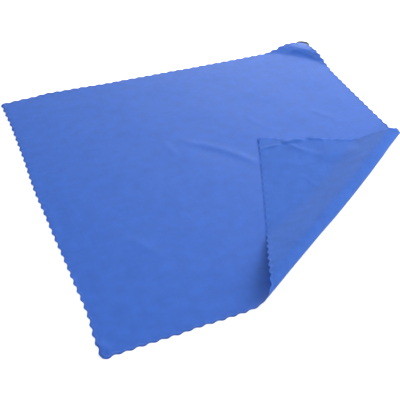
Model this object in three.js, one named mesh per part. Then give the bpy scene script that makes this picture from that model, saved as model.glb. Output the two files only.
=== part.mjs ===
// A pocket travel towel: one square of thin cloth with a scalloped, overlocked edge. It lies flat
// with its near right corner turned over in a loose roll. Its far right corner humps up a little,
// and a short cord loop for hanging is sewn under that corner.
//
// Lengths are in millimetres and +Z is up. The cloth is laid out first on a flat plan, with u along
// the near edge and v along the left edge, both from the near left corner. Every plan point is then
// carried to its place in the folded towel.

import * as THREE from 'three';

// ---------------------------------------------------------------- cloth
const SIDE = 400;
const THICKNESS = 1;
const HALF_THICKNESS = THICKNESS / 2;

// ---------------------------------------------------------------- scalloped edge
const SCALLOPS_PER_SIDE = 39;
const SCALLOP_PITCH = SIDE / SCALLOPS_PER_SIDE;
const SCALLOP_DEPTH = 1.8;
const POINTS_PER_SCALLOP = 6;
const SEAM_INSET = 8;
const SEAM_STEP = SCALLOP_PITCH / 2;

// Each edge runs anticlockwise round the plan. Its wander says how far the sewn edge strays outward
// from the true square, by the distance along that edge.
const EDGES = [
  {
    start: [0, 0],
    along: [1, 0],
    out: [0, -1],
    wander: [
      { along: 0, out: 1.4 },
      { along: 34, out: 0.5 },
      { along: 76, out: -0.3 },
      { along: 106, out: -1 },
      { along: 140, out: -1 },
      { along: 200, out: 0 },
      { along: SIDE, out: 0 },
    ],
  },
  {
    start: [SIDE, 0],
    along: [0, 1],
    out: [1, 0],
    wander: [
      { along: 0, out: 0 },
      { along: 180, out: -0.5 },
      { along: 215, out: -1.1 },
      { along: 267, out: -0.7 },
      { along: 316, out: 0 },
      { along: SIDE, out: 0 },
    ],
  },
  {
    start: [SIDE, SIDE],
    along: [-1, 0],
    out: [0, 1],
    wander: [
      { along: 0, out: -0.6 },
      { along: 30, out: -1.6 },
      { along: 60, out: -3.6 },
      { along: 97, out: -3.4 },
      { along: 150, out: -2.6 },
      { along: 200, out: -1.3 },
      { along: 266, out: 0 },
      { along: 320, out: 2.8 },
      { along: 344, out: 3.8 },
      { along: 364, out: 1.5 },
      { along: SIDE, out: -0.2 },
    ],
  },
  {
    start: [0, SIDE],
    along: [0, -1],
    out: [-1, 0],
    wander: [
      { along: 0, out: 0.2 },
      { along: 52, out: -1.2 },
      { along: 100, out: -0.8 },
      { along: 173, out: 0.9 },
      { along: 225, out: -0.2 },
      { along: 300, out: -1.9 },
      { along: 348, out: -2.6 },
      { along: 385, out: 0.1 },
      { along: SIDE, out: 0.8 },
    ],
  },
];

// ---------------------------------------------------------------- turned over corner
// The fold line leaves the near edge at FOLD_START and reaches the right edge. The cloth takes off
// from the table on a wide arc, turns over on the roll, comes down at a lean and lands on an arc.
const FOLD_START = 127;
const FOLD_ANGLE = THREE.MathUtils.degToRad(34.3);
const FOLD_SPAN = (SIDE - FOLD_START) / Math.cos(FOLD_ANGLE);
const ROLL_RADIUS = { near: 7.4, middle: 7, far: 8.2 };
const ROLL_LEAN_DEGREES = { near: 10.3, middle: 26.6, far: 24.6 };
const TAKE_OFF_TURN = THREE.MathUtils.degToRad(25);
const TAKE_OFF_TO_ROLL = 1.6;
const LANDING_TO_ROLL = 3.8;
const FLAP_RISE = 1.8;
const FOLD_BOW = 2.5;
const FLAP_DRIFT = 0.043;

// Plan distances across the fold line where the cloth is divided: closely on the roll, wider on
// the slope behind it. Past the last one the flap lies flat.
const FOLD_ROWS = [
  { from: -1, to: 30, step: 2 },
  { from: 31, to: 70, step: 4 },
];
const FOLD_ROW_PIECES = 14;

// ---------------------------------------------------------------- humped corner
// Ridges and hollows cross the far right corner from the far edge to the right edge. Each row gives
// where it meets those two edges and how high the cloth is lifted along it.
const HUMP_ROWS = [
  { far: 336, right: 325, lift: 0 },
  { far: 348, right: 338, lift: 1.3 },
  { far: 359, right: 350, lift: 3.5 },
  { far: 369, right: 363, lift: 6.6 },
  { far: 379, right: 375, lift: 8.4 },
  { far: 385, right: 383, lift: 7 },
  { far: 391, right: 391, lift: 4.4 },
  { far: 398, right: 398, lift: 2.4 },
];
const HUMP_ROW_PIECES = 6;

// ---------------------------------------------------------------- hanging loop
// The loop's route is given from the far right corner: out along the diagonal, across it towards
// the far edge, and up. Its ends are tucked under the hem.
const CORD_DIAMETER = 2;
const CORD_SIDES = 10;
const CORD_STEPS = 36;
const LOOP_ROUTE = [
  { out: -9.5, across: 6.2, up: 4.5 },
  { out: -5.5, across: 7.9, up: 3 },
  { out: -0.5, across: 8, up: 1.7 },
  { out: 3.6, across: 6.7, up: 1.1 },
  { out: 7.1, across: 3.6, up: 1 },
  { out: 7.3, across: -0.4, up: 1 },
  { out: 4.4, across: -3.9, up: 1.1 },
  { out: 0, across: -5.2, up: 1.3 },
  { out: -4.5, across: -4.9, up: 2.1 },
  { out: -8.5, across: -3.9, up: 3.7 },
];

// ---------------------------------------------------------------- smooth tables
// Eases from one row's value to the next, level at each row.
function easedValue(rows, key, value, at) {
  const last = rows.length - 1;
  if (at <= rows[0][key]) return rows[0][value];
  if (at >= rows[last][key]) return rows[last][value];
  const next = rows.findIndex((row) => row[key] > at);
  const before = rows[next - 1];
  const after = rows[next];
  const share = (at - before[key]) / (after[key] - before[key]);
  const eased = (1 - Math.cos(Math.PI * share)) / 2;
  return before[value] + (after[value] - before[value]) * eased;
}

// The parabola through a near, a middle and a far value.
function throughThree(values, share) {
  const nearPart = values.near * (1 - share) * (1 - 2 * share);
  const middlePart = values.middle * 4 * share * (1 - share);
  const farPart = values.far * share * (2 * share - 1);
  return nearPart + middlePart + farPart;
}

// ---------------------------------------------------------------- fold
const foldAlong = [Math.cos(FOLD_ANGLE), Math.sin(FOLD_ANGLE)];
const foldAcross = [Math.sin(FOLD_ANGLE), -Math.cos(FOLD_ANGLE)];

function foldPosition(u, v) {
  const du = u - FOLD_START;
  return {
    along: du * foldAlong[0] + v * foldAlong[1],
    across: du * foldAcross[0] + v * foldAcross[1],
  };
}

// The stretches of the fold's section at one place along it, as lengths and turns. A turn of zero
// is a straight stretch.
function foldSection(radius, lean) {
  const takeOffRadius = radius * TAKE_OFF_TO_ROLL;
  const landingRadius = radius * LANDING_TO_ROLL;
  const rollTurn = Math.PI + lean - TAKE_OFF_TURN;
  const top = takeOffRadius * (1 - Math.cos(TAKE_OFF_TURN))
    + radius * (Math.cos(TAKE_OFF_TURN) + Math.cos(lean));
  const slopeDrop = top - landingRadius * (1 - Math.cos(lean)) - FLAP_RISE;
  return [
    { length: takeOffRadius * TAKE_OFF_TURN, turn: TAKE_OFF_TURN },
    { length: radius * rollTurn, turn: rollTurn },
    { length: slopeDrop / Math.sin(lean), turn: 0 },
    { length: landingRadius * lean, turn: -lean },
    { length: Infinity, turn: 0 },
  ];
}

// Walks a plan distance along the fold's section, to how far out and how high it gets.
function walkSection(section, distance) {
  let out = 0;
  let up = 0;
  let heading = 0;
  let left = distance;
  for (const stretch of section) {
    const step = Math.min(left, stretch.length);
    if (stretch.turn === 0) {
      out += step * Math.cos(heading);
      up += step * Math.sin(heading);
    } else {
      const radius = stretch.length / stretch.turn;
      const newHeading = heading + step / radius;
      out += radius * (Math.sin(newHeading) - Math.sin(heading));
      up += radius * (Math.cos(heading) - Math.cos(newHeading));
      heading = newHeading;
    }
    left -= step;
    if (left <= 0) break;
  }
  return { out, up };
}

// ---------------------------------------------------------------- hump
// How far a plan point lies past one row's line, towards the far right corner.
function pastHumpRow(row, u, v) {
  const du = SIDE - row.far;
  const dv = row.right - SIDE;
  return (du * (v - SIDE) - dv * (u - row.far)) / Math.hypot(du, dv);
}

function humpLift(u, v) {
  let lift = 0;
  for (let i = 0; i < HUMP_ROWS.length; i += 1) {
    const row = HUMP_ROWS[i];
    const past = pastHumpRow(row, u, v);
    if (past < 0) break;
    lift = row.lift;
    const next = HUMP_ROWS[i + 1];
    if (next) {
      const before = pastHumpRow(next, u, v);
      if (before < 0) {
        const share = past / (past - before);
        lift += (next.lift - row.lift) * (1 - Math.cos(Math.PI * share)) / 2;
      }
    }
  }
  return lift;
}

// ---------------------------------------------------------------- from the plan to the towel
// The middle of the cloth's thickness at a plan point.
function clothPoint(u, v) {
  const { along, across } = foldPosition(u, v);
  const share = THREE.MathUtils.clamp(along / FOLD_SPAN, 0, 1);
  const bow = FOLD_BOW * 4 * share * (1 - share);
  if (across <= bow) return new THREE.Vector3(u, v, HALF_THICKNESS + humpLift(u, v));
  const radius = throughThree(ROLL_RADIUS, share);
  const lean = THREE.MathUtils.degToRad(throughThree(ROLL_LEAN_DEGREES, share));
  const place = walkSection(foldSection(radius, lean), across - bow);
  const slid = along + FLAP_DRIFT * Math.max(across - Math.PI * radius, 0);
  const out = bow + place.out;
  return new THREE.Vector3(
    FOLD_START + slid * foldAlong[0] + out * foldAcross[0],
    slid * foldAlong[1] + out * foldAcross[1],
    HALF_THICKNESS + place.up,
  );
}

const PROBE = 0.01;

// The direction that the upper face of the cloth looks at a plan point.
function clothNormal(u, v) {
  const alongU = clothPoint(u + PROBE, v).sub(clothPoint(u - PROBE, v));
  const alongV = clothPoint(u, v + PROBE).sub(clothPoint(u, v - PROBE));
  return alongU.cross(alongV).normalize();
}

// ---------------------------------------------------------------- plan mesh
const plan = [];
const planTriangles = [];

function addPlanPoint(u, v) {
  plan.push([u, v]);
  return plan.length - 1;
}

// Adds a triangle of plan points, turned anticlockwise.
function addPlanTriangle(a, b, c) {
  const [pa, pb, pc] = [plan[a], plan[b], plan[c]];
  const area = (pb[0] - pa[0]) * (pc[1] - pa[1]) - (pc[0] - pa[0]) * (pb[1] - pa[1]);
  planTriangles.push(area > 0 ? [a, b, c] : [a, c, b]);
}

// Fills the band between two chains of plan points. It always takes the step that has made less
// progress. A point that both chains share belongs to one of them only.
function addBand(chainA, chainB, progress) {
  let i = 0;
  let j = 0;
  while (i + 1 < chainA.length || j + 1 < chainB.length) {
    const onlyA = j + 1 >= chainB.length;
    const onlyB = i + 1 >= chainA.length;
    if (onlyA || (!onlyB && progress(chainA, i + 1) <= progress(chainB, j + 1))) {
      addPlanTriangle(chainA[i], chainB[j], chainA[i + 1]);
      i += 1;
    } else {
      addPlanTriangle(chainA[i], chainB[j], chainB[j + 1]);
      j += 1;
    }
  }
}

const shareOfChain = (chain, i) => i / (chain.length - 1);
const towardsFarRight = (chain, i) => plan[chain[i]][0] + plan[chain[i]][1];

// A straight row of plan points between two places, both ends included.
function addRow(from, to, pieces) {
  const row = [];
  for (let i = 0; i <= pieces; i += 1) {
    const share = i / pieces;
    row.push(addPlanPoint(from[0] + (to[0] - from[0]) * share, from[1] + (to[1] - from[1]) * share));
  }
  return row;
}

// Points about half a scallop apart between two places on the seam line, both ends left out.
function addSeamStretch(from, to) {
  const length = Math.hypot(to[0] - from[0], to[1] - from[1]);
  const pieces = Math.max(1, Math.round(length / SEAM_STEP));
  const stretch = [];
  for (let i = 1; i < pieces; i += 1) {
    const share = i / pieces;
    const u = from[0] + (to[0] - from[0]) * share;
    const v = from[1] + (to[1] - from[1]) * share;
    stretch.push(addPlanPoint(u, v));
  }
  return stretch;
}

const SEAM_LOW = SEAM_INSET;
const SEAM_HIGH = SIDE - SEAM_INSET;
const SEAM_CLEAR = 1;

// One row across the fold, from the near seam to the right seam.
function addFoldRow(across) {
  const nearU = FOLD_START + (across + SEAM_LOW * foldAlong[0]) / foldAlong[1];
  const rightV = ((SEAM_HIGH - FOLD_START) * foldAlong[1] - across) / foldAlong[0];
  return addRow([nearU, SEAM_LOW], [SEAM_HIGH, rightV], FOLD_ROW_PIECES);
}

function addFoldRows() {
  const rows = [];
  for (const { from, to, step } of FOLD_ROWS) {
    for (let across = from; across <= to; across += step) rows.push(addFoldRow(across));
  }
  return rows;
}

// One row across the humped corner, from the right seam to the far seam. The first is still flat
// and needs no points between its ends.
function addHumpRow(row, index) {
  const slope = (SIDE - row.far) / (SIDE - row.right);
  const rightV = row.right + SEAM_INSET / slope;
  const farU = row.far + SEAM_INSET * slope;
  return addRow([SEAM_HIGH, rightV], [farU, SEAM_HIGH], index === 0 ? 1 : HUMP_ROW_PIECES);
}

// The hump's rows and the lines halfway between them divide the cloth where they cross it inside
// the seam line.
function addHumpRows() {
  const lines = [];
  HUMP_ROWS.forEach((row, i) => {
    lines.push(row);
    const next = HUMP_ROWS[i + 1] ?? row;
    lines.push({ far: (row.far + next.far) / 2, right: (row.right + next.right) / 2 });
  });
  return lines.filter((line) => pastHumpRow(line, SEAM_HIGH, SEAM_HIGH) > SEAM_CLEAR).map(addHumpRow);
}

// Fills the plan inside the seam line and returns that line's points, anticlockwise.
function fillInsideSeam() {
  const foldRows = addFoldRows();
  const humpRows = addHumpRows();
  const firstFold = foldRows[0];
  const lastFold = foldRows.at(-1);
  const firstHump = humpRows[0];
  const lastHump = humpRows.at(-1);
  const nearLeft = addPlanPoint(SEAM_LOW, SEAM_LOW);
  const nearRight = addPlanPoint(SEAM_HIGH, SEAM_LOW);
  const farRight = addPlanPoint(SEAM_HIGH, SEAM_HIGH);
  const farLeft = addPlanPoint(SEAM_LOW, SEAM_HIGH);
  const stretchBetween = (a, b) => addSeamStretch(plan[a], plan[b]);
  const nearStretch = stretchBetween(nearLeft, firstFold[0]);
  const flapNearStretch = stretchBetween(lastFold[0], nearRight);
  const flapRightStretch = stretchBetween(nearRight, lastFold.at(-1));
  const rightStretch = stretchBetween(firstFold.at(-1), firstHump[0]);
  const farStretch = stretchBetween(firstHump.at(-1), farLeft);
  const leftStretch = stretchBetween(farLeft, nearLeft);

  addBand(
    [nearLeft, ...nearStretch, ...firstFold, ...rightStretch, firstHump[0]],
    [...leftStretch.toReversed(), farLeft, ...farStretch.toReversed(), firstHump.at(-1)],
    towardsFarRight,
  );
  addBand(
    lastFold.slice(1, -1),
    [lastFold[0], ...flapNearStretch, nearRight, ...flapRightStretch, lastFold.at(-1)],
    shareOfChain,
  );
  addBand(lastHump, [farRight], shareOfChain);
  for (let i = 0; i + 1 < foldRows.length; i += 1) {
    addBand(foldRows[i], foldRows[i + 1], shareOfChain);
  }
  for (let i = 0; i + 1 < humpRows.length; i += 1) {
    addBand(humpRows[i], humpRows[i + 1], shareOfChain);
  }

  const foldStarts = foldRows.map((row) => row[0]);
  const foldEnds = foldRows.map((row) => row.at(-1)).toReversed();
  const humpStarts = humpRows.map((row) => row[0]);
  const humpEnds = humpRows.map((row) => row.at(-1)).toReversed();
  return [
    nearLeft, ...nearStretch, ...foldStarts, ...flapNearStretch,
    nearRight, ...flapRightStretch, ...foldEnds, ...rightStretch, ...humpStarts,
    farRight, ...humpEnds, ...farStretch,
    farLeft, ...leftStretch,
  ];
}

// The scalloped outline, anticlockwise. The corners themselves are left out, which rounds them off.
function addOutline() {
  const outline = [];
  const steps = SCALLOPS_PER_SIDE * POINTS_PER_SCALLOP;
  for (const edge of EDGES) {
    for (let i = 1; i < steps; i += 1) {
      const along = SIDE * i / steps;
      const wave = -Math.cos(2 * Math.PI * along / SCALLOP_PITCH) * SCALLOP_DEPTH / 2;
      const out = wave + easedValue(edge.wander, 'along', 'out', along);
      const u = edge.start[0] + edge.along[0] * along + edge.out[0] * out;
      const v = edge.start[1] + edge.along[1] * along + edge.out[1] * out;
      outline.push(addPlanPoint(u, v));
    }
  }
  return outline;
}

// How far round the square a plan point lies, in sides, starting at the near left corner.
function wayRound([u, v]) {
  const du = u - SIDE / 2;
  const dv = v - SIDE / 2;
  if (-dv >= Math.abs(du)) return 0.5 + du / -dv / 2;
  if (du >= Math.abs(dv)) return 1.5 + dv / du / 2;
  if (dv >= Math.abs(du)) return 2.5 - du / dv / 2;
  return 3.5 + dv / du / 2;
}

// Joins the seam line to the outline with the hem, going once round both together.
function fillHem(seam, outline) {
  const roundAndHome = (chain, i) => wayRound(plan[chain[i]]) + (i === chain.length - 1 ? 4 : 0);
  addBand([...seam, seam[0]], [...outline, outline[0]], roundAndHome);
}

// ---------------------------------------------------------------- solids
function makeTowelGeometry() {
  const seam = fillInsideSeam();
  const outline = addOutline();
  fillHem(seam, outline);

  const tops = [];
  const bottoms = [];
  for (const [u, v] of plan) {
    const middle = clothPoint(u, v);
    const half = clothNormal(u, v).multiplyScalar(HALF_THICKNESS);
    tops.push(...middle.clone().add(half).toArray());
    bottoms.push(...middle.sub(half).toArray());
  }
  const under = plan.length;
  const faces = [];
  for (const [a, b, c] of planTriangles) {
    faces.push(a, b, c);
    faces.push(under + a, under + c, under + b);
  }
  outline.forEach((a, i) => {
    const b = outline[(i + 1) % outline.length];
    faces.push(under + a, under + b, b);
    faces.push(under + a, b, a);
  });

  const geometry = new THREE.BufferGeometry();
  geometry.setAttribute('position', new THREE.Float32BufferAttribute([...tops, ...bottoms], 3));
  geometry.setIndex(faces);
  geometry.computeVertexNormals();
  return geometry;
}

function makeLoopGeometry() {
  const route = LOOP_ROUTE.map(({ out, across, up }) => new THREE.Vector3(
    SIDE + (out - across) * Math.SQRT1_2,
    SIDE + (out + across) * Math.SQRT1_2,
    up,
  ));
  const section = new THREE.Shape();
  for (let i = 0; i < CORD_SIDES; i += 1) {
    const angle = 2 * Math.PI * i / CORD_SIDES;
    const x = CORD_DIAMETER / 2 * Math.cos(angle);
    const y = CORD_DIAMETER / 2 * Math.sin(angle);
    if (i === 0) section.moveTo(x, y);
    else section.lineTo(x, y);
  }
  return new THREE.ExtrudeGeometry(section, {
    steps: CORD_STEPS,
    extrudePath: new THREE.CatmullRomCurve3(route),
    bevelEnabled: false,
  });
}

const towel = new THREE.Mesh(
  makeTowelGeometry(),
  new THREE.MeshStandardMaterial({ color: '#4e75cf', roughness: 0.9, metalness: 0 }),
);
towel.name = 'towel';

const hangingLoop = new THREE.Mesh(
  makeLoopGeometry(),
  new THREE.MeshStandardMaterial({ color: '#2b3236', roughness: 0.8, metalness: 0 }),
);
hangingLoop.name = 'hanging_loop';

// The origin is the middle of the underside's bounding rectangle, on the table.
const travelTowel = new THREE.Group();
travelTowel.add(towel, hangingLoop);
const reach = new THREE.Box3().setFromObject(travelTowel);
const middle = reach.getCenter(new THREE.Vector3());
for (const mesh of [towel, hangingLoop]) mesh.position.set(-middle.x, -middle.y, -reach.min.z);

export default travelTowel;
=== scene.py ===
# A pocket travel towel: one square of thin microfibre cloth with a scalloped, overlocked edge.
# It lies flat with its near right corner turned over in a loose roll. Its far right corner humps
# up a little, and a short dark cord loop for hanging is sewn under that corner.

import math

import bpy
import numpy as np
from mathutils import Matrix, Vector


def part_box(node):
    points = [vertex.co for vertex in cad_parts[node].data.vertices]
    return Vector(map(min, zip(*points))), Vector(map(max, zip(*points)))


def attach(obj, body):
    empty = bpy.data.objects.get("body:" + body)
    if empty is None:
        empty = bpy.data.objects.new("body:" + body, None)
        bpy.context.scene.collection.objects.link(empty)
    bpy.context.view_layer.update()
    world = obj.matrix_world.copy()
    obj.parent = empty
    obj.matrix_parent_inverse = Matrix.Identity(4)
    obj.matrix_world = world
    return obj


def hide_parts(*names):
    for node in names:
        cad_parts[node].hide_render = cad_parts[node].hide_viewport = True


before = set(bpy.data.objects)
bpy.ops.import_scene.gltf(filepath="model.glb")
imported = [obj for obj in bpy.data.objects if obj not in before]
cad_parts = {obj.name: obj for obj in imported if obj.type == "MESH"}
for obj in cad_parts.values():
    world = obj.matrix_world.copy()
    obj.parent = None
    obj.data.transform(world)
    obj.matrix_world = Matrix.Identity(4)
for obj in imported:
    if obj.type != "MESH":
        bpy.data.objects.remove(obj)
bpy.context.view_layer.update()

# ---------------------------------------------------------------- sizes, in millimetres
MM = 0.001
SIDE = 400
CLOTH_THICKNESS = 0.36
# How high the middle of the lying cloth's thickness is.
CLOTH_MIDDLE = 0.5
# The middle of the solid towel's box, on the plan.
PLAN_MIDDLE = (199.554, 201.221)

SCALLOPS_PER_SIDE = 39
SCALLOP_PITCH = SIDE / SCALLOPS_PER_SIDE
POINTS_PER_SCALLOP = 12
POINTS_PER_EDGE = SCALLOPS_PER_SIDE * POINTS_PER_SCALLOP

# How far the sewn edge strays outward from the true square, by the distance along that edge.
# The edges run anticlockwise: near, right, far, left.
EDGE_WANDER = {
    "near": [
        (0, 1.4), (10, 1.8), (20, 2.2), (34, 1.6), (56, 1.2), (68, 1.2), (80, 0.4), (92, 0), (104, 0.2),
        (118, -0.3), (140, -1), (200, 0), (400, 0),
    ],
    "right": [
        (0, 0.6), (16, 0), (34, -1.4), (44, -1), (56, 0.8), (72, 0.6), (90, 0), (180, -0.5), (215, -1.1),
        (267, -0.7), (316, 0), (328, 0.4), (340, 1.8), (352, 3.1), (365, 3.6), (377, 3.4), (390, 1.8),
        (400, 0.6),
    ],
    "far": [
        (0, 0), (8, 1.6), (20, 3.7), (30, 2.6), (44, -1.2), (60, -3.6), (97, -3.4), (150, -2.6), (200, -1.3),
        (266, 0), (320, 2.8), (344, 3.8), (364, 1.5), (400, -0.2),
    ],
    "left": [
        (0, 0.2), (52, -1.2), (100, -0.8), (173, 1.1), (225, 0.1), (300, -1.3),
        (348, -2.2), (385, 0.3), (400, 0.8),
    ],
}
# How deep the scallops are, by the distance along that edge.
SCALLOP_DEPTH = {
    "near": [(0, 1.3), (120, 1.3), (150, 1.7), (400, 2)],
    "right": [(0, 1.8), (400, 1.8)],
    "far": [(0, 2.1), (400, 2.1)],
    "left": [(0, 1.6), (400, 1.6)],
}
# Painted shade and painted light at the sewn edge: how much the colour of the cloth's face is
# darkened (below one) or lightened (above one) there, by the distance along that edge, and how
# much its back is lightened there, as painted light over the shade along the turned over flap's
# edge. Both ease to one over HEM_REACH.
HEM_PAINTED_SHADING = {
    "near": [(0, 0.55), (400, 0.55)],
    "right": [(0, 0.85), (400, 0.85)],
    "far": [(0, 0.85), (400, 0.9)],
    "left": [(0, 1.1), (300, 1), (380, 0.85), (392, 0.6), (400, 0.6)],
}
BACK_HEM_PAINTED_SHADING = 1.35
HEM_REACH = 2.2
EDGE_FRAMES = {
    "near": {"start": (0, 0), "along": (1, 0), "out": (0, -1)},
    "right": {"start": (SIDE, 0), "along": (0, 1), "out": (1, 0)},
    "far": {"start": (SIDE, SIDE), "along": (-1, 0), "out": (0, 1)},
    "left": {"start": (0, SIDE), "along": (0, -1), "out": (-1, 0)},
}

# The turned over corner: the fold line leaves the near edge at FOLD_START.
FOLD_START = 127
FOLD_ANGLE = math.radians(34.3)
FOLD_SPAN = (SIDE - FOLD_START) / math.cos(FOLD_ANGLE)
ROLL_RADIUS = {"near": 7.4, "middle": 7, "far": 8.2}
ROLL_LEAN_DEGREES = {"near": 10.3, "middle": 26.6, "far": 24.6}
TAKE_OFF_TURN = math.radians(25)
TAKE_OFF_TO_ROLL = 1.6
LANDING_TO_ROLL = 3.8
FLAP_RISE = 0.48
FOLD_BOW = 2.5
FLAP_DRIFT = 0.043
# How far the roll's side bulges outward, by the share of the way along the fold.
ROLL_BULGE = [
    (0, 0.6), (0.11, 0.5), (0.22, 0.2), (0.34, 0.4), (0.5, 1.25), (0.6, 1.4), (0.69, 1.2),
    (0.79, 0.8), (0.9, -0.1), (1, 0),
]
# How far to each side of the roll's outermost line it still bulges.
BULGE_REACH = 5

# The humped corner: each row gives where its line meets the far edge and the right edge, how far
# its middle bows towards the corner, how high the cloth is lifted along it, and the share by
# which its middle is lifted less (or, below nought, more).
HUMP_ROWS = [
    {"far": 316, "right": 341, "bow": 14, "lift": 0, "sag": 0},
    {"far": 343, "right": 350, "bow": 6, "lift": 0.5, "sag": 0},
    {"far": 355, "right": 358, "bow": 3.5, "lift": 1.5, "sag": -0.1},
    {"far": 367, "right": 366, "bow": 1.5, "lift": 2.8, "sag": -0.15},
    {"far": 378, "right": 374, "bow": -1, "lift": 3.7, "sag": -0.12},
    {"far": 385, "right": 381, "bow": -1.5, "lift": 3.9, "sag": -0.03},
    {"far": 392, "right": 390, "bow": -1, "lift": 3.7, "sag": 0},
    {"far": 398, "right": 398, "bow": 0, "lift": 2.8, "sag": 0},
]
HUMP_SAG_REACH = 11
LEAST_ROW_GAP = 0.1

# The hanging loop's route from the far right corner: out along the diagonal, across it towards
# the far edge, and up.
CORD_DIAMETER = 2
LOOP_ROUTE = [
    (-9.5, 5.4, 3), (-6, 8, 2.6), (-1.8, 9, 2), (2.2, 7.6, 1.5), (5, 4, 1.2),
    (5.4, -1.2, 1.1), (3.6, -5, 1.15), (-0.5, -6.6, 1.35), (-5, -6.2, 2), (-9, -4.8, 2.9),
]


# ---------------------------------------------------------------- smooth tables
def eased_value(rows, at):
    """Eases from one row's value to the next, level at each row."""
    places = np.array([row[0] for row in rows], float)
    values = np.array([row[1] for row in rows], float)
    at = np.clip(at, places[0], places[-1])
    before = np.clip(np.searchsorted(places, at, side="right") - 1, 0, len(rows) - 2)
    share = (at - places[before]) / (places[before + 1] - places[before])
    eased = (1 - np.cos(math.pi * share)) / 2
    return values[before] + (values[before + 1] - values[before]) * eased


def smooth_value(values, at):
    """A smooth curve through evenly spaced values, level at its first."""
    values = np.array(values, float)
    slopes = np.gradient(values)
    slopes[0] = 0
    before = np.clip(np.floor(at).astype(int), 0, len(values) - 2)
    t = at - before
    start, end = values[before], values[before + 1]
    bend = (end - start) * (3 - 2 * t) * t * t
    leave = slopes[before] * t * (1 - t) ** 2
    arrive = slopes[before + 1] * t * t * (t - 1)
    return start + bend + leave + arrive


def through_three(values, share):
    """The parabola through a near, a middle and a far value."""
    near_part = values["near"] * (1 - share) * (1 - 2 * share)
    middle_part = values["middle"] * 4 * share * (1 - share)
    far_part = values["far"] * share * (2 * share - 1)
    return near_part + middle_part + far_part


# ---------------------------------------------------------------- from the plan to the towel
FOLD_ALONG = (math.cos(FOLD_ANGLE), math.sin(FOLD_ANGLE))
FOLD_ACROSS = (math.sin(FOLD_ANGLE), -math.cos(FOLD_ANGLE))


def walk_section(radius, lean, distance):
    """Walks a plan distance along the fold's section, to how far out and how high it gets."""
    take_off_radius = radius * TAKE_OFF_TO_ROLL
    landing_radius = radius * LANDING_TO_ROLL
    roll_turn = math.pi + lean - TAKE_OFF_TURN
    top = take_off_radius * (1 - math.cos(TAKE_OFF_TURN))
    top = top + radius * (math.cos(TAKE_OFF_TURN) + np.cos(lean))
    slope_drop = top - landing_radius * (1 - np.cos(lean)) - FLAP_RISE
    stretches = [
        (take_off_radius, TAKE_OFF_TURN),
        (radius, roll_turn),
        (None, slope_drop / np.sin(lean)),
        (-landing_radius, -lean),
        (None, np.inf),
    ]
    out = np.zeros_like(distance)
    up = np.zeros_like(distance)
    heading = np.zeros_like(distance)
    left = distance.copy()
    for bend, amount in stretches:
        if bend is None:
            step = np.minimum(left, amount)
            out = out + step * np.cos(heading)
            up = up + step * np.sin(heading)
        else:
            step = np.minimum(left, bend * amount)
            new_heading = heading + step / bend
            out = out + bend * (np.sin(new_heading) - np.sin(heading))
            up = up + bend * (np.cos(heading) - np.cos(new_heading))
            heading = new_heading
        left = left - step
    return out, up


def past_hump_row(row, u, v):
    """How far a plan point lies past one row's bowed line, towards the far right corner."""
    du = SIDE - row["far"]
    dv = row["right"] - SIDE
    length = math.hypot(du, dv)
    past = (du * (v - SIDE) - dv * (u - row["far"])) / length
    share = np.clip((du * (u - row["far"]) + dv * (v - SIDE)) / length ** 2, 0, 1)
    return past - row["bow"] * 4 * share * (1 - share)


def hump_lift(u, v):
    """The height of the humped corner at a plan point."""
    rank = np.zeros_like(u)
    for i, (row, following) in enumerate(zip(HUMP_ROWS, HUMP_ROWS[1:])):
        past = past_hump_row(row, u, v)
        before = past_hump_row(following, u, v)
        share = past / np.maximum(past - before, LEAST_ROW_GAP)
        rank = np.where(past >= 0, i + np.clip(share, 0, 1), rank)
    lift = smooth_value([row["lift"] for row in HUMP_ROWS], rank)
    sag = smooth_value([row["sag"] for row in HUMP_ROWS], rank)
    aside = (v - u) / math.sqrt(2) / HUMP_SAG_REACH
    return lift * (1 - sag * np.exp(-(aside ** 2)))


def cloth_place(u, v):
    """The middle of the cloth's thickness at plan points, before its creases."""
    du = u - FOLD_START
    along = du * FOLD_ALONG[0] + v * FOLD_ALONG[1]
    across = du * FOLD_ACROSS[0] + v * FOLD_ACROSS[1]
    share = np.clip(along / FOLD_SPAN, 0, 1)
    bow = FOLD_BOW * 4 * share * (1 - share)
    radius = through_three(ROLL_RADIUS, share)
    lean = np.radians(through_three(ROLL_LEAN_DEGREES, share))
    out, up = walk_section(radius, lean, np.maximum(across - bow, 0))
    slid = along + FLAP_DRIFT * np.maximum(across - math.pi * radius, 0)
    roll_side = radius * (1 + (TAKE_OFF_TO_ROLL - 1) * math.sin(TAKE_OFF_TURN))
    bulge = eased_value(ROLL_BULGE, share) * np.exp(-(((out - roll_side) / BULGE_REACH) ** 2))
    out = out + bow + bulge * (across > bow)
    turned = np.stack(
        [
            FOLD_START + slid * FOLD_ALONG[0] + out * FOLD_ACROSS[0],
            slid * FOLD_ALONG[1] + out * FOLD_ACROSS[1],
            CLOTH_MIDDLE + up,
        ],
        axis=-1,
    )
    laid = np.stack([u, v, CLOTH_MIDDLE + hump_lift(u, v)], axis=-1)
    return np.where((across <= bow)[:, None], laid, turned)


def cloth_normal(place, u, v):
    """The direction that the cloth's upper face looks, for any way of placing it."""
    probe = 0.05
    along_u = place(u + probe, v) - place(u - probe, v)
    along_v = place(u, v + probe) - place(u, v - probe)
    normal = np.cross(along_u, along_v)
    return normal / np.linalg.norm(normal, axis=1, keepdims=True)


# ---------------------------------------------------------------- creases
# The towel never lies quite flat. These long, low waves cross it and all that lies over it: each
# has its length, the bearing it runs along, where it starts, as a share of its length, and its
# height from trough to crest.
LIE_WAVES = [
    {"length": 74, "bearing": 18, "start": 0.1, "height": 0.14},
    {"length": 61, "bearing": 97, "start": 0.6, "height": 0.1},
    {"length": 113, "bearing": 141, "start": 0.3, "height": 0.2},
    {"length": 43, "bearing": 63, "start": 0.8, "height": 0.06},
    {"length": 29, "bearing": 119, "start": 0.2, "height": 0.04},
]

EDGE_LIE = 0.2
EDGE_LIE_REACH = 30
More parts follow.
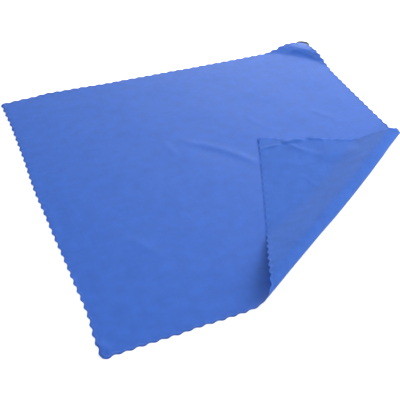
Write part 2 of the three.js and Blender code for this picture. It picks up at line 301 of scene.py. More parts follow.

# Soft ridges and troughs, placed on the plan: the route of each, its width to the left
# and to the right of the way it runs, and how far it lifts the cloth. One that starts suddenly
# or dies away slowly also gives the share of its length over which it fades in or out.
CREASES = [
    # the long soft ridge from the middle of the towel to the turned over corner, and its spur
    {"route": [(160, 266), (176, 248), (190, 238), (202, 226), (212, 214), (220, 203), (231, 182)],
     "left": 5, "right": 4.5, "lift": 0.42},
    {"route": [(172, 240), (186, 229), (198, 218), (207, 206), (216, 190)],
     "left": 6, "right": 12, "lift": -0.35},
    {"route": [(214, 213), (222, 201), (230, 185)], "left": 4, "right": 4, "lift": 0.3},
    {"route": [(150, 266), (151, 253), (153, 243), (156, 226)], "left": 3, "right": 4, "lift": 0.3},
    # faint ones beyond it and nearer to the near left corner
    {"route": [(281, 301), (267, 284), (257, 272), (260, 261), (270, 245), (279, 228)],
     "left": 2.5, "right": 2.5, "lift": 0.2},
    {"route": [(328, 262), (338, 249), (345, 239), (352, 229)], "left": 3, "right": 3, "lift": 0.25},
    {"route": [(289, 289), (298, 298), (309, 306)], "left": 2.5, "right": 2.5, "lift": 0.25},
    {"route": [(56, 132), (68, 121), (76, 109), (84, 96), (92, 84)], "left": 4, "right": 6, "lift": 0.35},
    # the near left corner is tucked in behind its small lobe
    {"route": [(2, 18), (2.2, 12), (3, 8.5), (4.6, 5.6), (7, 3), (10, 1.6)],
     "left": 4, "right": 2, "lift": 0.9},
    {"route": [(-2, 4.5), (0.5, 1.5), (3.5, -0.8), (8, -2.4)], "left": 1.8, "right": 1.8, "lift": 0.35},
    # the tip of the turned over corner bends along a ridge
    {"route": [(371, -8), (378, 1), (383, 12), (389, 27)],
     "left": 1.8, "right": 1.8, "lift": 0.55},
    {"route": [(371, -12), (378, 1), (383, 12), (389, 28)],
     "left": 3.5, "right": 9, "lift": 0.15},
    {"route": [(386, -8), (395, 0), (406, 5)], "left": 4, "right": 3, "lift": 0.4},
    # and the far edge stands up beyond it, over a sharp trough
    {"route": [(390, 25), (391.5, 31), (393.5, 37), (396, 44), (398, 52)],
     "left": 2.4, "right": 5, "lift": 1.3, "fade_in": 0.2, "fade_out": 0.2},
    {"route": [(401.5, 52), (400.5, 59), (399.5, 66), (398, 76)], "left": 2.2, "right": 4, "lift": 0.8},
    {"route": [(399, 82), (398, 100), (400, 118)], "left": 2, "right": 4, "lift": 0.4},
    {"route": [(401, 112), (401, 130), (402, 152)], "left": 2, "right": 4, "lift": 0.5},
    # a soft ridge runs from there towards the roll
    {"route": [(391, 34), (385, 38), (380, 44), (377, 51), (372, 62), (366, 72), (360, 86)],
     "left": 7, "right": 5, "lift": 0.6, "fade_in": 0.12, "fade_out": 0.6},
    {"route": [(391, 35), (385, 39), (380, 45), (378, 51)], "left": 3, "right": 2.5, "lift": 0.3},
    {"route": [(374, 62), (373, 85), (375, 115)], "left": 12, "right": 14, "lift": 0.9},
    {"route": [(338, 36), (330, 46), (322, 52), (315, 60)], "left": 3, "right": 3, "lift": 0.25},
    # the humped corner's near side is crumpled
    {"route": [(362, 380), (370, 385), (378, 387), (384, 382), (388, 375)],
     "left": 3, "right": 1.8, "lift": 0.35},
    {"route": [(384, 374), (390, 373), (394, 366), (397, 356)], "left": 2.5, "right": 1.8, "lift": 0.3},
]
ROUTE_STEPS = 40
CURVE_STEP = 0.05
CREASE_REACH = 3
FADE_SHARE = 0.25


def smooth_route(points, steps):
    """Even steps along a smooth curve through the points, and the curve's length."""
    points = np.array(points, float)
    padded = np.concatenate([[2 * points[0] - points[1]], points, [2 * points[-1] - points[-2]]])
    dense = []
    for p0, p1, p2, p3 in zip(padded, padded[1:], padded[2:], padded[3:]):
        for t in np.arange(0, 1, CURVE_STEP):
            dense.append(0.5 * (
                2 * p1 + (p2 - p0) * t + (2 * p0 - 5 * p1 + 4 * p2 - p3) * t * t
                + (3 * p1 - p0 - 3 * p2 + p3) * t ** 3
            ))
    dense = np.array(dense + [points[-1]])
    run = np.concatenate([[0], np.cumsum(np.linalg.norm(np.diff(dense, axis=0), axis=1))])
    even = np.linspace(0, run[-1], steps + 1)
    spread = [np.interp(even, run, dense[:, k]) for k in range(dense.shape[1])]
    return np.stack(spread, axis=-1), run[-1]


def beside_route(route, u, v):
    """How far plan points lie to the left of a route, and how far along it, from 0 to 1."""
    starts = route[:-1]
    ways = np.diff(route, axis=0)
    du = u[:, None] - starts[:, 0]
    dv = v[:, None] - starts[:, 1]
    share = (du * ways[:, 0] + dv * ways[:, 1]) / (ways ** 2).sum(axis=1)
    share = np.clip(share, 0, 1)
    gap = np.hypot(du - share * ways[:, 0], dv - share * ways[:, 1])
    nearest = gap.argmin(axis=1)
    picked = (np.arange(len(u)), nearest)
    turn = ways[nearest, 0] * dv[picked] - ways[nearest, 1] * du[picked]
    return np.sign(turn) * gap[picked], (nearest + share[picked]) / len(ways)


def smooth_step(share):
    """Eases from 0 to 1."""
    share = np.clip(share, 0, 1)
    return share * share * (3 - 2 * share)


CREASE_ROUTES = [smooth_route(crease["route"], ROUTE_STEPS)[0] for crease in CREASES]


def crease_lift(u, v):
    """The sum of the creases at plan points."""
    lift = np.zeros_like(u)
    for crease, route in zip(CREASES, CREASE_ROUTES):
        reach = CREASE_REACH * max(crease["left"], crease["right"])
        low = route.min(axis=0) - reach
        high = route.max(axis=0) + reach
        near = np.nonzero((u > low[0]) & (u < high[0]) & (v > low[1]) & (v < high[1]))[0]
        if len(near) == 0:
            continue
        aside, along = beside_route(route, u[near], v[near])
        width = np.where(aside > 0, crease["left"], crease["right"])
        fade_in = crease.get("fade_in", FADE_SHARE)
        fade_out = crease.get("fade_out", FADE_SHARE)
        fade = smooth_step(along / fade_in) * smooth_step((1 - along) / fade_out)
        lift[near] += crease["lift"] * fade * np.exp(-((aside / width) ** 2))
    return lift


def lie_lift(x, y):
    """The height of the long, low waves over a place on the table, less towards the edges."""
    lift = np.zeros_like(x)
    inside = np.minimum(np.minimum(x, SIDE - x), np.minimum(y, SIDE - y))
    for wave in LIE_WAVES:
        bearing = math.radians(wave["bearing"])
        along = (x * math.cos(bearing) + y * math.sin(bearing)) / wave["length"]
        lift += wave["height"] * (1 + np.sin(2 * math.pi * (along + wave["start"]))) / 2
    return lift * (EDGE_LIE + (1 - EDGE_LIE) * smooth_step(inside / EDGE_LIE_REACH))


# The sewn edge flutters: its scallops lie a little lower, and the notches between them higher.
EDGE_FLUTTER = 0.16
FLUTTER_REACH = 3.5


def flutter_lift(u, v):
    """How far the sewn edge rises and falls at plan points."""
    lift = np.zeros_like(u)
    for inside, along in ((u, v), (SIDE - u, v), (v, u), (SIDE - v, u)):
        share = np.exp(-((np.maximum(inside, 0) / FLUTTER_REACH) ** 2))
        lift += EDGE_FLUTTER * share * np.cos(2 * math.pi * along / SCALLOP_PITCH)
    return lift


def creased_place(u, v):
    """Where the middle of the cloth's thickness lies at plan points."""
    place = cloth_place(u, v)
    place[:, 2] += lie_lift(place[:, 0], place[:, 1]) + crease_lift(u, v) + flutter_lift(u, v)
    return place


# ---------------------------------------------------------------- towel mesh
# The inner grid ends this far in from the true square. Its lines run from and to the given places,
# about a step apart, and closer where the cloth bends.
SEAM_INSET = 6
LINES_U = [(SEAM_INSET, 127, 3), (127, 368, 2.2), (368, SIDE - SEAM_INSET, 0.9)]
LINES_V = [(SEAM_INSET, 110, 1.8), (110, 330, 3), (330, SIDE - SEAM_INSET, 1.6)]
# The rings of the hem, from the outline inwards: inset, share of the scallop's wave, half the
# thickness there.
HEM_RINGS = [
    {"inset": 0, "wave": 1, "half": 0.08},
    {"inset": 0.3, "wave": 1, "half": 0.12},
    {"inset": 2.2, "wave": 0.9, "half": 0.12},
    {"inset": 4.2, "wave": 0.1, "half": 0.18},
]
# How far the rounded rim stands out from the outline.
RIM_PUSH = 0.08
# The hem is cut off by this much on both sides of each corner, so that its two edges never cross.
CORNER_GAP = 0.7
# How far in the cloth still follows its straying edge.
WANDER_REACH = 60
# The near left corner is drawn out into a small lobe about this place.
LOBE_AT = np.array([3.5, 0.3])
LOBE_REACH = 6
LOBE_PULL = np.array([0.4, -1.9])


def line_places(stops):
    """Places from one stop to the next, evenly spaced between them."""
    places = []
    for start, end, step in stops:
        pieces = max(1, round((end - start) / step))
        places.extend(start + (end - start) * i / pieces for i in range(pieces))
    return np.array(places + [stops[-1][1]])


def way_round(u, v):
    """How far round the square plan points lie, in sides, from the near left corner."""
    du = u - SIDE / 2
    dv = v - SIDE / 2
    reach = np.maximum(np.abs(du), np.abs(dv))
    way = np.where(-dv >= reach, 0.5 + du / reach / 2, 3.5 + dv / -reach / 2)
    way = np.where((du >= reach) & (-dv < reach), 1.5 + dv / reach / 2, way)
    way = np.where((dv >= reach) & (du < reach), 2.5 - du / reach / 2, way)
    return way


def strayed(plan):
    """The true square's points, moved as the sewn edges stray, and less the further in they lie."""
    moved = plan.copy()
    for name, edge in EDGE_FRAMES.items():
        start, along, out = (np.array(edge[key], float) for key in ("start", "along", "out"))
        at = (plan - start) @ along
        inside = np.maximum((start - plan) @ out, 0)
        hold = np.clip(1 - inside / WANDER_REACH, 0, 1) ** 2
        moved += (eased_value(EDGE_WANDER[name], at) * hold)[:, None] * out
    return moved


def near_left_lobe(plan):
    """The plan with its near left corner drawn out into a small lobe."""
    away = np.linalg.norm(plan - LOBE_AT, axis=1, keepdims=True)
    return plan + np.exp(-((away / LOBE_REACH) ** 2)) * LOBE_PULL


def hem_ring(inset, wave_share):
    """One ring of the hem's plan points, anticlockwise from the near left corner."""
    at = CORNER_GAP + (SIDE - 2 * CORNER_GAP) * (np.arange(POINTS_PER_EDGE) + 0.5) / POINTS_PER_EDGE
    wave = -np.cos(2 * math.pi * at / SCALLOP_PITCH) / 2 * wave_share
    along = inset + (SIDE - 2 * inset) * at / SIDE
    ring = []
    for name, edge in EDGE_FRAMES.items():
        out = wave * eased_value(SCALLOP_DEPTH[name], at) - inset
        u = edge["start"][0] + edge["along"][0] * along + edge["out"][0] * out
        v = edge["start"][1] + edge["along"][1] * along + edge["out"][1] * out
        ring.append(np.stack([u, v], axis=-1))
    return np.concatenate(ring)


def hem_painted_shading(inset):
    """The painted shade and painted light of the face and the back round one ring of the hem."""
    at = SIDE * (np.arange(POINTS_PER_EDGE) + 0.5) / POINTS_PER_EDGE
    face = np.concatenate([eased_value(HEM_PAINTED_SHADING[name], at) for name in EDGE_FRAMES])
    back = np.full(len(face), BACK_HEM_PAINTED_SHADING)
    share = max(1 - inset / HEM_REACH, 0)
    return 1 + (np.stack([face, back], axis=-1) - 1) * share


def towel_plan():
    """The plan points, each one's half thickness and painted hem shading, the faces, the outline."""
    u_lines = line_places(LINES_U)
    v_lines = line_places(LINES_V)
    columns, rows = len(u_lines), len(v_lines)
    grid_u, grid_v = np.meshgrid(u_lines, v_lines)
    points = [np.stack([grid_u.ravel(), grid_v.ravel()], axis=-1)]
    halves = [np.full(columns * rows, CLOTH_THICKNESS / 2)]
    painted_shading = [np.ones((columns * rows, 2))]
    faces = []
    for j in range(rows - 1):
        for i in range(columns - 1):
            a = j * columns + i
            faces.append((a, a + 1, a + columns + 1, a + columns))

    border = list(range(columns))
    border += [j * columns + columns - 1 for j in range(1, rows)]
    border += [(rows - 1) * columns + i for i in range(columns - 2, -1, -1)]
    border += [j * columns for j in range(rows - 2, 0, -1)]

    rings = []
    count = columns * rows
    for ring in HEM_RINGS:
        ring_points = hem_ring(ring["inset"], ring["wave"])
        points.append(ring_points)
        halves.append(np.full(len(ring_points), ring["half"]))
        painted_shading.append(hem_painted_shading(ring["inset"]))
        rings.append([count + i for i in range(len(ring_points))])
        count += len(ring_points)
    plan = np.concatenate(points)
    for outer, inner in zip(rings, rings[1:]):
        for i in range(len(outer)):
            j = (i + 1) % len(outer)
            faces.append((inner[i], outer[i], outer[j], inner[j]))

    inner_way = way_round(plan[border, 0], plan[border, 1])
    outer_way = way_round(plan[rings[-1], 0], plan[rings[-1], 1])
    inner_way = np.append(inner_way, inner_way[0] + 4)
    outer_way = np.append(outer_way, outer_way[0] + 4)
    i = j = 0
    inner, outer = border + border[:1], rings[-1] + rings[-1][:1]
    while i < len(border) or j < len(rings[-1]):
        if j == len(rings[-1]) or (i < len(border) and inner_way[i + 1] <= outer_way[j + 1]):
            faces.append((inner[i], outer[j], inner[i + 1]))
            i += 1
        else:
            faces.append((inner[i], outer[j], outer[j + 1]))
            j += 1
    plan = near_left_lobe(strayed(plan))
    return plan, np.concatenate(halves), np.concatenate(painted_shading), faces, rings[0]


def plan_shift():
    """From the plan to the object's frame: the middle of the towel's box in both."""
    low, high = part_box("towel")
    return np.array([
        (low[0] + high[0]) / 2 - PLAN_MIDDLE[0] * MM,
        (low[1] + high[1]) / 2 - PLAN_MIDDLE[1] * MM,
        0,
    ])


SHIFT = plan_shift()


def make_towel():
    """The towel: its upper and lower faces, and a rounded rim between them."""
    plan, halves, painted_shading, faces, outline = towel_plan()
    u, v = plan[:, 0], plan[:, 1]
    middle = creased_place(u, v)
    normal = cloth_normal(creased_place, u, v)
    top = middle + normal * halves[:, None]
    bottom = middle - normal * halves[:, None]
    ring = np.array(outline)
    way = np.roll(middle[ring], -1, axis=0) - np.roll(middle[ring], 1, axis=0)
    outward = np.cross(way, normal[ring])
    outward /= np.linalg.norm(outward, axis=1, keepdims=True)
    rim = middle[ring] + outward * RIM_PUSH
    count = len(plan)
    all_faces = list(faces)
    all_faces += [tuple(count + a for a in reversed(face)) for face in faces]
    for i, a in enumerate(outline):
        j = (i + 1) % len(outline)
        b = outline[j]
        rim_a, rim_b = 2 * count + i, 2 * count + j
        all_faces.append((a, rim_a, rim_b, b))
        all_faces.append((rim_a, count + a, count + b, rim_b))
    towel = new_piece("towel_cloth", np.concatenate([top, bottom, rim]), all_faces)
    mesh = towel.data
    plan_of = np.concatenate([plan, plan, plan[ring]]) / SIDE
    corners = np.zeros(len(mesh.loops), np.int32)
    mesh.loops.foreach_get("vertex_index", corners)
    layer = mesh.uv_layers.new(name="plan")
    layer.data.foreach_set("uv", plan_of[corners].ravel())
    # The sewn edge's painted shade and painted light, one value a point, for the cloth's colour.
    layer = mesh.attributes.new("hem_painted_shading", "FLOAT", "POINT")
    hem = np.concatenate([painted_shading[:, 0], painted_shading[:, 1], painted_shading[ring, 0]])
    layer.data.foreach_set("value", hem)
    for i, polygon in enumerate(mesh.polygons):
        polygon.material_index = 1 if len(faces) <= i < 2 * len(faces) else 0
    return towel


# ---------------------------------------------------------------- threads and cords
def sweep_tubes(centres, asides, radius, sides):
    """Closed round tubes: points and faces. Each row of centres is one tube's middle line."""
    tubes, steps = centres.shape[:2]
    ways = np.gradient(centres, axis=1)
    ways /= np.linalg.norm(ways, axis=2, keepdims=True)
    asides = asides - (asides * ways).sum(axis=2, keepdims=True) * ways
    asides /= np.linalg.norm(asides, axis=2, keepdims=True)
    uprights = np.cross(ways, asides)
    angles = 2 * math.pi * np.arange(sides) / sides
    cosines = np.cos(angles)[:, None]
    sines = np.sin(angles)[:, None]
    rings = cosines * asides[:, :, None, :] + sines * uprights[:, :, None, :]
    points = (centres[:, :, None, :] + radius * rings).reshape(-1, 3)
    faces = []
    for tube in range(tubes):
        start = tube * steps * sides
        for i in range(steps - 1):
            near, far = start + i * sides, start + (i + 1) * sides
            for k in range(sides):
                m = (k + 1) % sides
                faces.append((near + k, near + m, far + m, far + k))
        last = start + (steps - 1) * sides
        faces.append(tuple(start + k for k in reversed(range(sides))))
        faces.append(tuple(last + k for k in range(sides)))
    return points, faces


def new_piece(name, points, faces):
    """A smoothly shaded piece, from points in millimetres on the plan's frame."""
    mesh = bpy.data.meshes.new(name)
    mesh.from_pydata([tuple(point) for point in points * MM + SHIFT], [], faces)
    mesh.validate()
    for polygon in mesh.polygons:
        polygon.use_smooth = True
    piece = bpy.data.objects.new(name, mesh)
    bpy.context.scene.collection.objects.link(piece)
    return piece


# The overlock stitches: each wraps the edge from its upper face round to its lower one. The rows
# give how far in from the outline the thread lies, how far from the middle of the cloth's
# thickness, and how far it slants along the edge.
STITCH_EVERY = 1.5
STITCH_ROUTE = [
    {"inset": 2.5, "height": 0.08, "slant": 0.8},
    {"inset": 1.7, "height": 0.19, "slant": 0.5},
    {"inset": 0.5, "height": 0.17, "slant": 0.1},
    {"inset": -0.05, "height": 0.08, "slant": 0},
    {"inset": -0.05, "height": -0.08, "slant": 0},
    {"inset": 0.5, "height": -0.16, "slant": -0.1},
    {"inset": 2, "height": -0.13, "slant": -0.6},
]
THREAD_RADIUS = 0.1
THREAD_SIDES = 5
INNER_RING = HEM_RINGS[2]


def ring_place(ring, at):
    """Places on a closed ring of points, by a count of its steps."""
    before = np.floor(at).astype(int)
    share = (at - before)[:, None]
    return ring[before % len(ring)] * (1 - share) + ring[(before + 1) % len(ring)] * share


def make_stitching():
    """The overlock stitches all round the scalloped edge, as threads."""
    outer = near_left_lobe(strayed(hem_ring(0, 1)))
    inner = near_left_lobe(strayed(hem_ring(INNER_RING["inset"], INNER_RING["wave"])))
    at = np.arange(0, len(outer), STITCH_EVERY)
    step_length = SIDE / POINTS_PER_EDGE
    centres, asides = [], []
    for row in STITCH_ROUTE:
        slid = at + row["slant"] / step_length
        share = row["inset"] / INNER_RING["inset"]
        edge = ring_place(outer, slid)
        plan = edge + (ring_place(inner, slid) - edge) * share
        ahead = ring_place(outer, slid + 1) - ring_place(outer, slid - 1)
        ahead /= np.linalg.norm(ahead, axis=1, keepdims=True)
        u, v = plan[:, 0], plan[:, 1]
        place = creased_place(u, v)
        nearby = ahead / 10
        asides.append(creased_place(u + nearby[:, 0], v + nearby[:, 1]) - place)
        centres.append(place + cloth_normal(creased_place, u, v) * row["height"])
    centres = np.stack(centres, axis=1)
    asides = np.stack(asides, axis=1)
    points, faces = sweep_tubes(centres, asides, THREAD_RADIUS, THREAD_SIDES)
    stitching = new_piece("edge_stitching", points, faces)
    rows = len(STITCH_ROUTE)
    round_edge = np.arange(len(points)) // THREAD_SIDES % rows / (rows - 1)
    layer = stitching.data.attributes.new("round_edge", "FLOAT", "POINT")
    layer.data.foreach_set("value", round_edge)
    return stitching


CORD_SIDES = 16
CORD_STEPS = 90


def make_loop():
    """The hanging loop: a round cord along its route, closed at both ends."""
    route = [
        (SIDE + (out - across) / math.sqrt(2), SIDE + (out + across) / math.sqrt(2), up)
        for out, across, up in LOOP_ROUTE
    ]
    centres, length = smooth_route(route, CORD_STEPS)
    asides = np.cross(np.gradient(centres, axis=0), [0, 0, 1])
    points, faces = sweep_tubes(centres[None], asides[None], CORD_DIAMETER / 2, CORD_SIDES)
    loop = new_piece("loop_cord", points, faces)
    layer = loop.data.uv_layers.new(name="along_cord")
    for polygon in loop.data.polygons:
        first = min(polygon.vertices)
        wraps = len(polygon.vertices) == 4 and first % CORD_SIDES == 0
        for corner in polygon.loop_indices:
            step, side = divmod(loop.data.loops[corner].vertex_index, CORD_SIDES)
            if wraps and side == CORD_SIDES - 1:
                side = -1
            layer.data[corner].uv = (step / CORD_STEPS * length, side / CORD_SIDES)
    return loop


# ---------------------------------------------------------------- materials
# The floor's colour. It glows a little, and fully beyond the lamps' reach, so that it stays white:
# the glow rises between these two distances from the middle, in metres.
FLOOR_COLOUR = (0.85, 0.85, 0.85, 1)
FLOOR_GLOW = 0.5
WHITER_FROM = 0.8
WHITEST_FROM = 1.8


def new_material(name):
    """An empty material, its nodes and its links."""
    material = bpy.data.materials.new(name)
    material.use_nodes = True
    material.node_tree.nodes.clear()
    return material, material.node_tree.nodes, material.node_tree.links


def new_shader_material(name):
    """A material of one shader, its nodes, its links and that shader."""
    material, nodes, links = new_material(name)
    output = nodes.new("ShaderNodeOutputMaterial")
    shader = nodes.new("ShaderNodeBsdfPrincipled")
    links.new(shader.outputs["BSDF"], output.inputs["Surface"])
    return material, nodes, links, shader


def add_math(nodes, links, operation, *values):
    """The result of an operation on other nodes' results and plain numbers."""
    node = nodes.new("ShaderNodeMath")
    node.operation = operation
    for socket, value in zip(node.inputs, values):
        if isinstance(value, (int, float)):
            socket.default_value = value
        else:
            links.new(value, socket)
    return node.outputs["Value"]


def add_noise(nodes, links, source, scale, detail, stretch=(1, 1, 1)):
    """Soft noise on a source of coordinates, as a value about one half."""
    mapping = nodes.new("ShaderNodeMapping")
    mapping.inputs["Scale"].default_value = stretch
    noise = nodes.new("ShaderNodeTexNoise")
    noise.inputs["Scale"].default_value = scale
    noise.inputs["Detail"].default_value = detail
    links.new(source, mapping.inputs["Vector"])
    links.new(mapping.outputs["Vector"], noise.inputs["Vector"])
    return noise.outputs["Fac"]


def add_sum(nodes, links, start, parts):
    """A start value plus each part's departure from one half, times its amount."""
    total = None
    for value, amount in parts:
        if total is None:
            total = add_math(nodes, links, "MULTIPLY_ADD", value, amount, start - amount / 2)
        else:
            scaled = add_math(nodes, links, "MULTIPLY_ADD", value, amount, -amount / 2)
            total = add_math(nodes, links, "ADD", total, scaled)
    return total


# A wave texture of scale one runs through this many radians in one unit.
WAVE_RATE = 20


def add_ribs(nodes, links, source, direction, per_side):
    """Fine even ribs of the knit, as many as a count for the towel's side."""
    ribs = nodes.new("ShaderNodeTexWave")
    ribs.wave_type = "BANDS"
    ribs.bands_direction = direction
    ribs.inputs["Scale"].default_value = per_side * 2 * math.pi / WAVE_RATE
    ribs.inputs["Distortion"].default_value = 0.6
    ribs.inputs["Detail"].default_value = 1
    links.new(source, ribs.inputs["Vector"])
    return ribs.outputs["Fac"]


def add_bump(nodes, links, height, distance, strength):
    """A bump from a height value, as a normal."""
    bump = nodes.new("ShaderNodeBump")
    bump.inputs["Distance"].default_value = distance
    bump.inputs["Strength"].default_value = strength
    links.new(height, bump.inputs["Height"])
    return bump.outputs["Normal"]


def add_shaded_colour(nodes, links, color, value):
    """A colour made lighter or darker by a value about one."""
    shade = nodes.new("ShaderNodeHueSaturation")
    shade.inputs["Color"].default_value = color
    links.new(value, shade.inputs["Value"])
    return shade.outputs["Color"]


CLOTH_SIDES = {
    "blue_microfibre_face": {
        "color": (0.0405, 0.142, 0.59, 1), "roughness": 0.67, "gloss": 0.21, "sheen": 0.34,
    },
    "blue_microfibre_back": {
        "color": (0.053, 0.153, 0.57, 1), "roughness": 0.75, "gloss": 0.08, "sheen": 0.15,
    },
}


# The cloth's unevenness: each one's scale over the towel's side, its detail and its stretch.
CLOTH_NOISE = {
    "cloudy": (16, 2, (1, 1, 1)),
    "mottled": (34, 5, (1, 1, 1)),
    "along_slubs": (130, 2, (0.12, 1, 1)),
    "across_slubs": (130, 2, (1, 0.12, 1)),
    "nap": (520, 3, (1, 1, 1)),
}
WALES_PER_SIDE = 440
COURSES_PER_SIDE = 400
# How much of each goes into the cloth's shade, its height and its roughness.
CLOTH_SHADE = {"cloudy": 0.08, "mottled": 0.34, "along_slubs": 0.1, "across_slubs": 0.1, "nap": 0.12}
CLOTH_HEIGHT = {"nap": 0.9, "wales": 0.25, "courses": 0.2}
CLOTH_ROUGHNESS = {"nap": 0.2, "mottled": 0.1}
CLOTH_BUMP = {"distance": 0.00025, "strength": 0.5}
SHEEN_ROUGHNESS = 0.35
SHEEN_TINT = (0.85, 1, 0.93, 1)


def microfibre_material(name):
    """Royal blue microfibre: a fine knit under a short nap that lies unevenly."""
    material, nodes, links, shader = new_shader_material(name)
    side = CLOTH_SIDES[name]
    plan_map = nodes.new("ShaderNodeUVMap")
    plan_map.uv_map = "plan"
    plan = plan_map.outputs["UV"]
    parts = {key: add_noise(nodes, links, plan, *row) for key, row in CLOTH_NOISE.items()}
    parts["wales"] = add_ribs(nodes, links, plan, "X", WALES_PER_SIDE)
    parts["courses"] = add_ribs(nodes, links, plan, "Y", COURSES_PER_SIDE)

    def summed(start, amounts):
        return add_sum(nodes, links, start, [(parts[key], amount) for key, amount in amounts.items()])

    shade = summed(1, CLOTH_SHADE)
    # The sewn edge's painted shade and painted light darken or lighten the cloth's colour there.
    hem = nodes.new("ShaderNodeAttribute")
    hem.attribute_name = "hem_painted_shading"
    painted_hem_shaded = add_math(nodes, links, "MULTIPLY", shade, hem.outputs["Fac"])
    height = summed(0.5, CLOTH_HEIGHT)
    rough = summed(side["roughness"], CLOTH_ROUGHNESS)
    colour = add_shaded_colour(nodes, links, side["color"], painted_hem_shaded)
    links.new(colour, shader.inputs["Base Color"])
    links.new(rough, shader.inputs["Roughness"])
    links.new(add_bump(nodes, links, height, **CLOTH_BUMP), shader.inputs["Normal"])
    shader.inputs["Specular IOR Level"].default_value = side["gloss"]
    shader.inputs["Sheen Weight"].default_value = side["sheen"]
    shader.inputs["Sheen Roughness"].default_value = SHEEN_ROUGHNESS
    shader.inputs["Sheen Tint"].default_value = SHEEN_TINT
    return material


# One thread, painted darker on the cloth's face as painted shade along the edge's rim, and lighter on its
# back as painted light over the shade along the turned over flap's edge.
THREAD_FACE_PAINTED_SHADE = (0.075, 0.19, 0.68, 1)
THREAD_BACK_PAINTED_LIGHT = (0.09, 0.22, 0.74, 1)
# The thread's worn patches and its strands: scale over a metre, detail.
THREAD_WEAR = (60, 2)
THREAD_STRANDS = (2600, 2)
THREAD_BUMP = {"distance": 0.0001, "strength": 0.5}


def thread_material():
    """Blue sewing thread, with painted shade on the cloth's face and painted light on its back."""
    material, nodes, links, shader = new_shader_material("blue_overlock_thread")
    place = nodes.new("ShaderNodeTexCoord").outputs["Object"]
    worn = add_noise(nodes, links, place, *THREAD_WEAR)
    strands = add_noise(nodes, links, place, *THREAD_STRANDS)
    shade = add_sum(nodes, links, 1, [(worn, 0.25), (strands, 0.3)])
    round_edge = nodes.new("ShaderNodeAttribute")
    round_edge.attribute_name = "round_edge"
    # round_edge mixes from the face's painted shade to the back's painted light.
    mix = nodes.new("ShaderNodeMixRGB")
    links.new(round_edge.outputs["Fac"], mix.inputs["Fac"])
    links.new(add_shaded_colour(nodes, links, THREAD_FACE_PAINTED_SHADE, shade), mix.inputs["Color1"])
    links.new(add_shaded_colour(nodes, links, THREAD_BACK_PAINTED_LIGHT, shade), mix.inputs["Color2"])
    links.new(mix.outputs["Color"], shader.inputs["Base Color"])
    links.new(add_bump(nodes, links, strands, **THREAD_BUMP), shader.inputs["Normal"])
    shader.inputs["Roughness"].default_value = 0.55
    shader.inputs["Specular IOR Level"].default_value = 0.25
    shader.inputs["Sheen Weight"].default_value = 0.2
    return material


# One turn of the braid takes this many millimetres of cord.
BRAID_LENGTH = 1.5
BRAID_STRANDS = 4
CORD_COLOUR = (0.028, 0.037, 0.043, 1)
CORD_BUMP = {"distance": 0.00012, "strength": 0.8}


def cord_material():
    """Dark charcoal braided cord."""
    material, nodes, links, shader = new_shader_material("charcoal_cord")
    along_cord = nodes.new("ShaderNodeUVMap")
    along_cord.uv_map = "along_cord"
    parts = nodes.new("ShaderNodeSeparateXYZ")
    links.new(along_cord.outputs["UV"], parts.inputs["Vector"])
    waves = []
    for way in (-1, 1):
        run = add_math(nodes, links, "MULTIPLY", parts.outputs["X"], 2 * math.pi / BRAID_LENGTH)
        strands = way * 2 * math.pi * BRAID_STRANDS
        turn = add_math(nodes, links, "MULTIPLY_ADD", parts.outputs["Y"], strands, run)
        waves.append(add_math(nodes, links, "SINE", turn))
    braid = add_math(nodes, links, "MULTIPLY_ADD", *waves, 0.5)
    # The braid's height also sets the cord's colour: painted shade in the grooves between the strands,
    # painted light on their crowns.
    shade = add_sum(nodes, links, 1, [(braid, 0.5)])
    links.new(add_shaded_colour(nodes, links, CORD_COLOUR, shade), shader.inputs["Base Color"])
    links.new(add_bump(nodes, links, braid, **CORD_BUMP), shader.inputs["Normal"])
    shader.inputs["Roughness"].default_value = 0.6
    return material


def floor_material():
    """A white floor that keeps the towel's soft shadow."""
    material, nodes, links = new_material("white_floor")
    output = nodes.new("ShaderNodeOutputMaterial")
    rays = nodes.new("ShaderNodeLightPath")
    glow = nodes.new("ShaderNodeEmission")
    surface = nodes.new("ShaderNodeBsdfDiffuse")
    both = nodes.new("ShaderNodeAddShader")
    place = nodes.new("ShaderNodeTexCoord")
    away = nodes.new("ShaderNodeVectorMath")
    away.operation = "LENGTH"
    glow_there = nodes.new("ShaderNodeMapRange")
    glow_there.interpolation_type = "SMOOTHSTEP"
    glow_there.inputs["From Min"].default_value = WHITER_FROM
    glow_there.inputs["From Max"].default_value = WHITEST_FROM
    glow_there.inputs["To Min"].default_value = FLOOR_GLOW
    links.new(place.outputs["Object"], away.inputs["Vector"])
    links.new(away.outputs["Value"], glow_there.inputs["Value"])
    surface.inputs["Color"].default_value = FLOOR_COLOUR
    seen = add_math(nodes, links, "MAXIMUM", rays.outputs["Is Camera Ray"], rays.outputs["Is Glossy Ray"])
    strength = add_math(nodes, links, "MULTIPLY", seen, glow_there.outputs["Result"])
    links.new(strength, glow.inputs["Strength"])
    links.new(surface.outputs["BSDF"], both.inputs[0])
    links.new(glow.outputs["Emission"], both.inputs[1])
    links.new(both.outputs["Shader"], output.inputs["Surface"])
    return material


# ---------------------------------------------------------------- camera, floor and light
# Places in metres, angles in radians.
CAMERA_AT = (-0.28967, -0.60193, 0.50180)
CAMERA_AZIMUTH = -0.40492
CAMERA_ELEVATION = 0.69527
CAMERA_ROLL = 0.01956
CAMERA_LENS = 70.18
SENSOR = 36
FLOOR_SIZE = 8


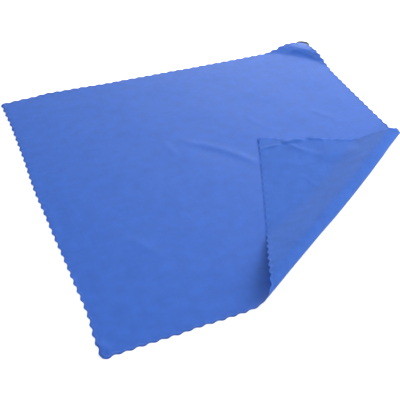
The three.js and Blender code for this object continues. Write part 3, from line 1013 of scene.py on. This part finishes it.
def make_camera():
    """The camera looks down from the near left."""
    azimuth, elevation, roll = CAMERA_AZIMUTH, CAMERA_ELEVATION, CAMERA_ROLL
    back = Vector((
        math.sin(azimuth) * math.cos(elevation),
        -math.cos(azimuth) * math.cos(elevation),
        math.sin(elevation),
    ))
    level = Vector((math.cos(azimuth), math.sin(azimuth), 0))
    upright = back.cross(level)
    right = level * math.cos(roll) + upright * math.sin(roll)
    up = upright * math.cos(roll) - level * math.sin(roll)
    data = bpy.data.cameras.new("camera")
    data.lens = CAMERA_LENS
    data.sensor_width = SENSOR
    camera = bpy.data.objects.new("camera", data)
    bpy.context.scene.collection.objects.link(camera)
    turn = Matrix((right, up, back)).transposed()
    camera.matrix_world = Matrix.Translation(CAMERA_AT) @ turn.to_4x4()
    bpy.context.scene.camera = camera


# Each lamp aims at the middle of the towel. Its bearing is turned from the right towards the far
# side; its size is across and upright.
LAMPS = [
    {"name": "right_softbox", "bearing": 0, "height": 30, "away": 1.6, "size": (1.2, 1.2), "power": 27.6},
    {"name": "back_strip", "bearing": 60, "height": 12, "away": 1.8, "size": (1, 0.5), "power": 22},
    {"name": "front_fill", "bearing": 225, "height": 32, "away": 2, "size": (2, 1.4), "power": 18},
]


def make_lamp(name, bearing, height, away, size, power):
    """A large, soft area lamp."""
    data = bpy.data.lights.new(name, "AREA")
    data.shape = "RECTANGLE"
    data.size, data.size_y = size
    data.energy = power
    lamp = bpy.data.objects.new(name, data)
    bpy.context.scene.collection.objects.link(lamp)
    turn, rise = math.radians(bearing), math.radians(height)
    towards = Vector((
        math.cos(rise) * math.cos(turn),
        math.cos(rise) * math.sin(turn),
        math.sin(rise),
    ))
    lamp.location = towards * away
    lamp.rotation_euler = towards.to_track_quat("Z", "Y").to_euler()
    lamp.visible_camera = False


WORLD_LIGHT = 0.27
WORLD_COLOUR = (0.93, 0.96, 1, 1)
WHITE = (1, 1, 1, 1)


def make_world():
    """Even white surroundings."""
    world = bpy.data.worlds.new("white_room")
    bpy.context.scene.world = world
    world.use_nodes = True
    nodes, links = world.node_tree.nodes, world.node_tree.links
    nodes.clear()
    output = nodes.new("ShaderNodeOutputWorld")
    rays = nodes.new("ShaderNodeLightPath")
    seen = nodes.new("ShaderNodeBackground")
    lighting = nodes.new("ShaderNodeBackground")
    mix = nodes.new("ShaderNodeMixShader")
    seen.inputs["Color"].default_value = WHITE
    seen.inputs["Strength"].default_value = 1
    lighting.inputs["Color"].default_value = WORLD_COLOUR
    lighting.inputs["Strength"].default_value = WORLD_LIGHT
    links.new(rays.outputs["Is Camera Ray"], mix.inputs["Fac"])
    links.new(lighting.outputs["Background"], mix.inputs[1])
    links.new(seen.outputs["Background"], mix.inputs[2])
    links.new(mix.outputs["Shader"], output.inputs["Surface"])


make_camera()
make_world()
for lamp in LAMPS:
    make_lamp(**lamp)

bpy.ops.object.select_all(action="DESELECT")
bpy.ops.mesh.primitive_plane_add(size=FLOOR_SIZE, location=(0, 0, 0))
floor = bpy.context.active_object
floor.name = "floor"
floor.data.materials.append(floor_material())
bpy.ops.object.select_all(action="DESELECT")

towel = make_towel()
for side in CLOTH_SIDES:
    towel.data.materials.append(microfibre_material(side))
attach(towel, "root")
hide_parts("towel")

hanging_loop = make_loop()
hanging_loop.data.materials.append(cord_material())
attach(hanging_loop, "root")
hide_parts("hanging_loop")

stitching = make_stitching()
stitching.data.materials.append(thread_material())
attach(stitching, "root")

bpy.context.scene.view_settings.view_transform = "Standard"
